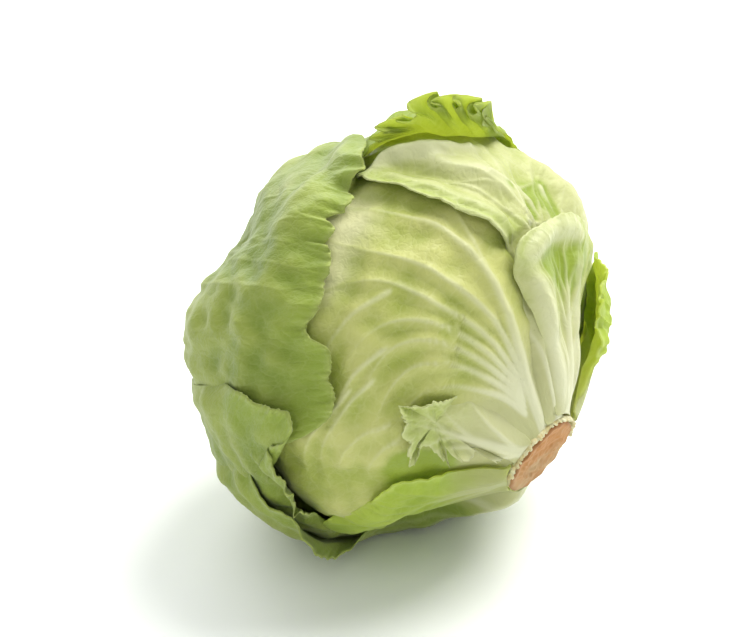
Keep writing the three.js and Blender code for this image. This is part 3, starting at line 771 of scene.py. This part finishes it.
def leaf_finish(name, blade, deep, light, margin, through, pale_base, rib_white, glow, rough):
    """Living leaf: green blade, white ribs and base, a net of fine veins, a free edge of its own colour with
    a painted highlight along it, painted shade in the hollows of the relief and cream patches of painted
    light.
    """
    material, tree = new_finish(name)
    spread = tree.kept("spread", "Vector")
    rib = tree.kept("rib")
    stemward = tree.kept("stemward")
    window_and_painted_light = tree.kept("window_and_painted_light")
    drift = tree.noise(spread, 0.45, 2.0)
    patches = tree.noise(spread, 1.7, 4.0)
    grain = tree.noise(spread, 26.0, 3.0)
    warped = tree.warped(spread, 2.6, 2.0, (0.35, 0.35, 0))
    net = tree.net(warped, 1.55)
    fine_net = tree.net(warped, 4.6)
    threads = 1 - tree.step(net, 0.0, 0.09)
    fine_threads = 1 - tree.step(fine_net, 0.0, 0.12)
    uneven = patches - 0.5

    # Painted shade: the deep green gathers in the hollows of the relief; drift and patches add random tone.
    full = tree.step(drift * 0.4 + patches * 0.2 + tree.kept("painted_hollow_shade") * 0.5 - 0.05, 0.25, 0.75)
    body = tree.blend(full, deep, blade)
    body = tree.blend(tree.kept("free") * 0.85, body, margin)
    body = tree.blend(threads * 0.14 + fine_threads * 0.1, body, light)
    body = tree.blend(tree.step(stemward + uneven * 0.35, 0.1, 0.95) * pale_base, body, BASE_WHITE)
    # Green patches: leaf seen in gaps, and on the front leaf partly painted shade.
    body = tree.blend(tree.step(window_and_painted_light + uneven * 0.4, 0.2, 0.7) * 0.9, body, WINDOW_GREEN_AND_PAINTED_SHADE)
    # Cream patches where the strength is below 0 are painted light; faint cream flecks elsewhere are random
    # tone.
    body = tree.blend(tree.step(uneven * 0.4 - window_and_painted_light, 0.1, 0.9) * 0.85, body, CREAM_TONE_AND_PAINTED_LIGHT)
    body = tree.blend(tree.step(rib, 0.12, 0.75) * (rib_white + stemward * 0.5), body, RIB_WHITE)
    # Painted highlight: the light colour laid along the free edge.
    body = tree.blend(tree.kept("painted_edge_highlight") * 0.5, body, light)
    specks = tree.step(tree.noise(spread, 5.2, 2.0), 0.73, 0.79)
    body = tree.blend(specks * 0.35, body, SPECK_GREEN)

    blisters = tree.step(net, 0.0, 0.32) * 0.5 + tree.step(fine_net, 0.0, 0.3) * 0.22
    bump = tree.bump(blisters + grain * 0.12 + patches * 0.3, 0.26, 0.0011)
    waxy = {"IOR": 1.42, "Sheen Weight": 0.18}
    skin = tree.skin(body, rough + patches * 0.14 - rib * 0.06, bump, waxy)
    lit = tree.node("ShaderNodeBsdfTranslucent", None, {"Color": through, "Normal": bump})
    tree.end(tree.node("ShaderNodeMixShader", None, {0: glow, 1: skin, 2: lit}))
    return material


FINISHES = {
    "green": leaf_finish(
        "green_leaf", blade=colour(148, 161, 70), deep=colour(121, 140, 47), light=colour(180, 188, 112),
        margin=colour(144, 164, 56), through=colour(196, 210, 96),
        pale_base=0.9, rib_white=0.2, glow=0.16, rough=0.46,
    ),
    "pale": leaf_finish(
        "pale_leaf", blade=colour(196, 198, 118), deep=colour(162, 174, 74), light=colour(215, 215, 156),
        margin=colour(160, 176, 74), through=colour(226, 228, 140),
        pale_base=0.9, rib_white=0.56, glow=0.2, rough=0.4,
    ),
    "white": leaf_finish(
        "white_leaf", blade=colour(200, 203, 142), deep=colour(172, 181, 98), light=colour(220, 221, 174),
        margin=colour(166, 182, 84), through=colour(230, 234, 150),
        pale_base=0.95, rib_white=0.55, glow=0.2, rough=0.4,
    ),
    "bright": leaf_finish(
        "bright_leaf", blade=colour(166, 184, 78), deep=colour(138, 162, 44), light=colour(204, 214, 136),
        margin=colour(166, 186, 66), through=colour(226, 234, 124),
        pale_base=0.9, rib_white=0.22, glow=0.52, rough=0.42,
    ),
    # The bright finish made lighter throughout: painted light for the rim and low leaves, which lie in
    # shade.
    "bright_painted_lit": leaf_finish(
        "bright_leaf_painted_lit", blade=colour(188, 208, 88), deep=colour(156, 184, 50), light=colour(224, 233, 150),
        margin=colour(188, 210, 75), through=colour(232, 240, 130),
        pale_base=0.9, rib_white=0.22, glow=0.5, rough=0.42,
    ),
}


def heart_finish():
    """Packed inner leaves: pale, with a faint net of veins."""
    material, tree = new_finish("heart_leaf")
    place = tree.place()
    patches = tree.noise(place, 45.0, 4.0)
    net = tree.net(tree.warped(place, 190.0, 3.0, (0.006,) * 3), 260.0)
    threads = 1 - tree.step(net, 0.0, 0.09)
    body = tree.blend(tree.step(patches, 0.35, 0.65), colour(146, 160, 74), colour(182, 188, 112))
    body = tree.blend(threads * 0.14, body, colour(206, 210, 154))
    bump = tree.bump(net + patches * 0.5, 0.3, 0.001)
    tree.end(tree.skin(body, 0.42 + patches * 0.1, bump))
    return material


def stem_finish():
    """The dried cut: tan with an orange upper side, a darker rim and fine rings."""
    material, tree = new_finish("cut_stem")
    across = tree.kept("across")
    place = tree.place()
    patches = tree.noise(place, 160.0, 5.0)
    fine = tree.noise(place, 620.0, 3.0)
    uneven = patches - 0.5
    upper = tree.step(patches + tree.kept("side") * 0.35, 0.35, 0.8)
    body = tree.blend(upper, colour(176, 145, 104), colour(180, 128, 76))
    body = tree.blend(tree.step(across + uneven * 0.12, 0.86, 0.98) * 0.6, body, colour(132, 84, 44))
    body = tree.blend(tree.step(patches, 0.6, 0.75) * 0.4, body, colour(156, 106, 60))
    cut = tree.step(tree.kept("cut") + uneven * 0.5, 0.3, 0.75)
    body = tree.blend(cut, colour(208, 203, 158), body)
    rings = tree.node("ShaderNodeMath", {"operation": "SINE"}, {0: across * 40.0 + patches * 5.0})
    bump = tree.bump(patches + fine * 0.5 + rings * 0.12, 0.5, 0.0008)
    tree.end(tree.skin(body, 0.62 + fine * 0.2, bump))
    return material


def shred_finish():
    """Dry pale scraps of leaf base."""
    material, tree = new_finish("pale_shreds")
    patches = tree.noise(tree.place(), 420.0, 3.0)
    body = tree.blend(tree.step(patches, 0.35, 0.65), colour(216, 212, 172), colour(196, 180, 124))
    tree.end(tree.skin(body, 0.5 + patches * 0.2, tree.bump(patches, 0.3, 0.0004)))
    return material


def add_piece(name, mesh, material, node):
    """Shows a mesh in place of a node; a mesh that a tree made has its finish already."""
    piece = bpy.data.objects.new(name, mesh)
    bpy.context.scene.collection.objects.link(piece)
    if material:
        mesh.materials.clear()
        mesh.materials.append(material)
    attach(piece, "root")
    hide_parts(node)


def new_tree(name, sizes):
    """An empty modifier tree with an input for each size."""
    group = bpy.data.node_groups.new(name, "GeometryNodeTree")
    for size, value in sizes.items():
        socket = group.interface.new_socket(size, in_out="INPUT", socket_type="NodeSocketFloat")
        socket.default_value = value
    group.interface.new_socket("Geometry", in_out="OUTPUT", socket_type="NodeSocketGeometry")
    return group, Tree(group)


def stood_up(tree, geometry, material):
    """Ends a tree: from the head's frame to the part's frame, as one mesh with its finish."""
    axes = {"Primary Axis": tuple(STEMWARD), "Secondary Axis": tuple(UPPER)}
    stand = tree.node("FunctionNodeAxesToRotation", {"primary_axis": "Z", "secondary_axis": "X"}, axes)
    moves = {"Geometry": geometry, "Translation": (0, 0, CENTRE_HEIGHT * MM), "Rotation": stand}
    stood = tree.node("GeometryNodeTransform", None, moves)
    even = tree.node("GeometryNodeSetShadeSmooth", None, {"Geometry": stood})
    whole = tree.node("GeometryNodeRealizeInstances", None, {"Geometry": even})
    dressed = tree.node("GeometryNodeSetMaterial", None, {"Geometry": whole, "Material": material})
    tree.node("NodeGroupOutput", None, {"Geometry": dressed})


# The heart, grown by a rule: inner leaf edges wind round it from the stem to the tip as low steps.
def heart_tree(material):
    sizes = {
        "Radius": HEART_RADIUS * MM, "To stem": HEART_TO_STEM * MM, "To tip": HEART_TO_TIP * MM,
        "Gap": 0.0018, "Leaves": 5.0, "Step": 0.0024, "Twist": 200.0, "Pucker": 0.0007, "Stem end": 0.042,
    }
    group, tree = new_tree("wound_heart", sizes)
    given = tree.node("NodeGroupInput")
    ball = tree.node("GeometryNodeMeshUVSphere", None, {"Segments": 150, "Rings": 100, "Radius": 1.0})
    where = tree.node("GeometryNodeInputPosition")
    x = tree.node("ShaderNodeSeparateXYZ", None, {0: where}, "X")
    y, z = x.other("Y"), x.other("Z")
    angle = z.math("ARCCOSINE", z.math("MINIMUM", z.math("MAXIMUM", z, -1.0), 1.0))
    turn = z.math("ARCTAN2", y, x)
    wound = given.other("Leaves") * (turn + given.other("Twist") * (angle / 180.0)) / (2 * math.pi)
    ledge = wound.math("FRACT", wound) * given.other("Step") * angle.math("SINE", angle)
    crease = tree.noise(where, 7.0, 3.0)
    inset = given.other("Gap") + ledge - (crease - 0.5) * given.other("Pucker")
    for deep_angle, deep_turn, width, height in BULGES:
        if height < 0:
            way = towards(deep_angle, deep_turn)
            facing = x * way[0] + y * way[1] + z * way[2]
            far2 = (1 - facing) * (-2 / math.radians(width) ** 2)
            inset = inset + far2.math("EXPONENT", far2) * (-height * MM)
    tipward = z.math("LESS_THAN", z, 0.0)
    tall = given.other("To stem") + tipward * (given.other("To tip") - given.other("To stem"))
    most = given.other("Stem end") + tipward * 1.0
    tall = tall.math("MINIMUM", (tall - inset) * z.math("ABSOLUTE", z), most)
    wide = given.other("Radius") - inset
    raised = z.math("SIGN", z) * tall
    level = CENTRE_HEIGHT * MM + (x * wide) * math.cos(STEM_DIP) - raised * math.sin(STEM_DIP)
    press = level - level.math("MAXIMUM", level, REST_LEVEL * MM + 0.002)
    spot = tree.node("ShaderNodeCombineXYZ", None, {
        "X": x * wide + press * -math.cos(STEM_DIP), "Y": y * wide, "Z": raised + press * math.sin(STEM_DIP),
    })
    moved = tree.node("GeometryNodeSetPosition", None, {"Geometry": ball, "Position": spot})
    stood_up(tree, moved, material)
    return group, sizes


# Scraps of leaf base that stand round the upper rim of the cut.
def shred_tree(material):
    sizes = {
        "Ring": (STEM_RADIUS + 0.7) * MM, "Level": (STEM_CUT - 2.2) * MM, "Length": 0.0026, "Width": 0.0017,
    }
    group, tree = new_tree("rim_shreds", sizes)
    given = tree.node("NodeGroupInput")
    radius = given.other("Ring")
    width = given.other("Width")
    ring = tree.node("GeometryNodeMeshCircle", None, {"Vertices": 84, "Radius": radius})
    where = tree.node("GeometryNodeInputPosition")
    x = tree.node("ShaderNodeSeparateXYZ", None, {0: where}, "X")
    pick = tree.node("FunctionNodeRandomValue", {"data_type": "FLOAT"}, {"Seed": 4}, 1)
    upward = x + radius * 0.6
    kept = upward.math("GREATER_THAN", upward, pick * radius * 0.9)
    scrap = tree.node("GeometryNodeMeshCone", None, {
        "Vertices": 10, "Side Segments": 3, "Radius Top": width * 0.35, "Radius Bottom": width,
        "Depth": given.other("Length"),
    })
    around = x.math("ARCTAN2", x.other("Y"), x) + math.pi / 2
    facing = tree.node("ShaderNodeCombineXYZ", None, {"Z": around})
    spans = {0: (-0.25, -0.4, -0.5), 1: (0.35, 0.4, 0.5), "Seed": 5}
    jitter = tree.node("FunctionNodeRandomValue", {"data_type": "FLOAT_VECTOR"}, spans)
    lean = tree.node("ShaderNodeVectorMath", {"operation": "ADD"}, {0: facing, 1: jitter})
    spans = {0: (0.5, 0.3, 0.4), 1: (1.3, 0.65, 1.0), "Seed": 6}
    size = tree.node("FunctionNodeRandomValue", {"data_type": "FLOAT_VECTOR"}, spans)
    placed = tree.node("GeometryNodeInstanceOnPoints", None, {
        "Points": ring, "Selection": kept, "Instance": scrap, "Rotation": lean, "Scale": size,
    })
    raised = tree.node("ShaderNodeCombineXYZ", None, {"Z": given.other("Level")})
    lifts = {"Instances": placed, "Translation": raised, "Local Space": False}
    stood_up(tree, tree.node("GeometryNodeTranslateInstances", None, lifts), material)
    return group, sizes


def from_tree(name, group, sizes):
    """The plain mesh that a tree makes with these sizes."""
    maker = bpy.data.objects.new(name, bpy.data.meshes.new(name))
    bpy.context.scene.collection.objects.link(maker)
    modifier = maker.modifiers.new(name, "NODES")
    modifier.node_group = group
    for item in group.interface.items_tree:
        if item.in_out == "INPUT" and item.name in sizes:
            modifier[item.identifier] = sizes[item.name]
    shown = bpy.context.evaluated_depsgraph_get()
    mesh = bpy.data.meshes.new_from_object(maker.evaluated_get(shown))
    maker.modifiers.remove(modifier)
    bpy.data.objects.remove(maker)
    return mesh


# The stem's half section, as radius and height, from its hidden inner end up over the rim of the cut.
STEM_SECTION = [(0, 42), (9, 42), (14, 52), (15, 59.5), (15, 66.4), (14.7, 67.2), (14.0, 67.5), (0.3, 67.2)]
STEM_AROUND = 180
SIDE_ROWS = 24
CUT_ROWS = 40


def stem_mesh():
    """The butt of the stem with a slightly dished and ragged cut."""
    around, rows = STEM_AROUND, SIDE_ROWS + CUT_ROWS
    turn = np.linspace(0, 2 * np.pi, around, endpoint=False)
    section = np.array(STEM_SECTION)
    run = np.concatenate([[0], np.cumsum(np.hypot(*np.diff(section, axis=0).T))])
    shoulder, brim = run[4], run[5]
    over_cut = np.linspace(shoulder, run[-1], CUT_ROWS + 1)[1:]
    at = np.concatenate([np.linspace(0.3, shoulder, SIDE_ROWS), over_cut])
    radius = np.interp(at, run, section[:, 0])
    height = np.interp(at, run, section[:, 1])
    across = radius / STEM_RADIUS
    face = smooth(shoulder - 0.9, brim, at)
    ring = np.stack([np.cos(turn), np.sin(turn)], -1)
    skirt = ring * STEM_RADIUS
    uneven = 1 + 0.03 * ripples(skirt, 20, 5) + 0.006 * ripples(skirt, 5, 6)
    flat = radius[:, None, None] * ring[None] * uneven[None, :, None]
    inner = (1 - 0.8 * across**4)[:, None]
    pits = inner * (0.35 * ripples(flat, 6, 7) + 0.16 * ripples(flat, 2.2, 8))
    dish = pits - 0.9 * (1 - across**2)[:, None]
    bundle = 0.5 * np.exp(-(((across - 0.62) / 0.06) ** 2))[:, None] * (0.6 + 0.4 * np.sin(turn * 23)[None])
    tall = height[:, None] + face[:, None] * (dish + bundle)
    at_rim = np.exp(-(((across - 0.97) / 0.05) ** 2)) * (face > 0)
    ragged = 0.3 * ripples(skirt, 5, 9)[None] * at_rim[:, None]
    points = np.concatenate([flat, (tall + ragged)[..., None]], -1).reshape(-1, 3)
    ends = np.array([[0, 0, section[0, 1]], [0, 0, tall[-1].mean()]])
    faces = []
    for row in range(rows - 1):
        low = row * around
        for i in range(around):
            j = (i + 1) % around
            faces.append((low + i, low + j, low + around + j, low + around + i))
    low, high = len(points), len(points) + 1
    faces += [(low, (i + 1) % around, i) for i in range(around)]
    top = (rows - 1) * around
    faces += [(high, top + i, top + (i + 1) % around) for i in range(around)]
    mesh = bpy.data.meshes.new("stem_butt")
    mesh.from_pydata(in_world(np.concatenate([points, ends])).tolist(), [], faces)
    store(mesh, "across", np.concatenate([np.repeat(across, around), [0, 0]]))
    store(mesh, "cut", np.concatenate([np.repeat(face, around), [0, 1]]))
    store(mesh, "side", np.concatenate([np.tile(0.5 + 0.5 * np.cos(turn), rows), [0.5, 0.5]]))
    mesh.shade_smooth()
    return mesh


laid = []
for order, leaf in enumerate(LEAVES):
    mesh = leaf_mesh(leaf, order, laid)
    add_piece(leaf["node"] + "_fine", mesh, FINISHES[leaf["finish"]], leaf["node"])

heart = from_tree("heart_fine", *heart_tree(heart_finish()))
add_piece("heart_fine", heart, None, "heart")
add_piece("stem_fine", stem_mesh(), stem_finish(), "stem")
shreds = from_tree("stem_shreds", *shred_tree(shred_finish()))
add_piece("stem_shreds", shreds, None, "stem")


# Floor, light and camera
def floor_finish():
    material, tree = new_finish("pale_floor")
    patches = tree.noise(tree.place(), 3.0, 4.0)
    body = tree.blend(patches, (0.9, 0.92, 0.91, 1), (0.93, 0.94, 0.93, 1))
    sockets = {"Base Color": body, "Roughness": 0.8 + patches * 0.1}
    tree.end(tree.node("ShaderNodeBsdfPrincipled", None, sockets))
    return material


floor_mesh = bpy.data.meshes.new("floor")
floor_mesh.from_pydata([(-4, -4, 0), (4, -4, 0), (4, 4, 0), (-4, 4, 0)], [], [(0, 1, 2, 3)])
floor_mesh.materials.append(floor_finish())
floor = bpy.data.objects.new("floor", floor_mesh)
bpy.context.scene.collection.objects.link(floor)

AZIMUTH = math.radians(40)
ELEVATION = math.radians(28)
RIGHT = np.array([math.cos(AZIMUTH), math.sin(AZIMUTH), 0])
BACK = np.array([
    math.sin(AZIMUTH) * math.cos(ELEVATION), -math.cos(AZIMUTH) * math.cos(ELEVATION), math.sin(ELEVATION)
])
OVER = np.cross(BACK, RIGHT)
MIDDLE = np.array([0, 0, CENTRE_HEIGHT * MM])
PHOTO_WIDTH = 752
PHOTO_HEIGHT = 637
HEAD_ACROSS = 398  # pixels from the photo's left edge to the head's middle
HEAD_DOWN = 333  # pixels from its upper edge
PIXEL = 0.08 / 232  # metres to a pixel at the head's middle
LENS = 100
SENSOR = 36


def aimed(thing, place, target):
    thing.location = Vector(place)
    thing.rotation_euler = (Vector(target) - Vector(place)).to_track_quat("-Z", "Y").to_euler()


camera = bpy.data.objects.new("camera", bpy.data.cameras.new("camera"))
camera.data.lens = LENS
camera.data.sensor_width = SENSOR
camera.data.clip_start = 0.01
bpy.context.scene.collection.objects.link(camera)
aside = (HEAD_ACROSS - PHOTO_WIDTH / 2) * PIXEL
below = (HEAD_DOWN - PHOTO_HEIGHT / 2) * PIXEL
target = MIDDLE - RIGHT * aside + OVER * below
aimed(camera, target + BACK * PIXEL * LENS / SENSOR * PHOTO_WIDTH, target)
bpy.context.scene.camera = camera


def softbox(name, place, size, power, tint):
    lamp = bpy.data.lights.new(name, "AREA")
    lamp.shape = "DISK"
    lamp.size = size
    lamp.energy = power
    lamp.color = tint
    thing = bpy.data.objects.new(name, lamp)
    bpy.context.scene.collection.objects.link(thing)
    aimed(thing, place, MIDDLE)


softbox("key", (0.22, 0.8, 1.45), 1.25, 36, (1, 0.99, 0.96))
softbox("rim", (-1.15, 0.6, 0.9), 1.4, 16, (1, 1, 1))
softbox("fill", (0.2, -1.5, 1.6), 1.4, 5.5, (0.97, 1, 0.98))
world = bpy.data.worlds.new("studio")
world.use_nodes = True
background = world.node_tree.nodes["Background"]
background.inputs["Color"].default_value = (0.97, 1.0, 0.98, 1)
background.inputs["Strength"].default_value = 0.6
bpy.context.scene.world = world
bpy.context.scene.view_settings.view_transform = "Standard"
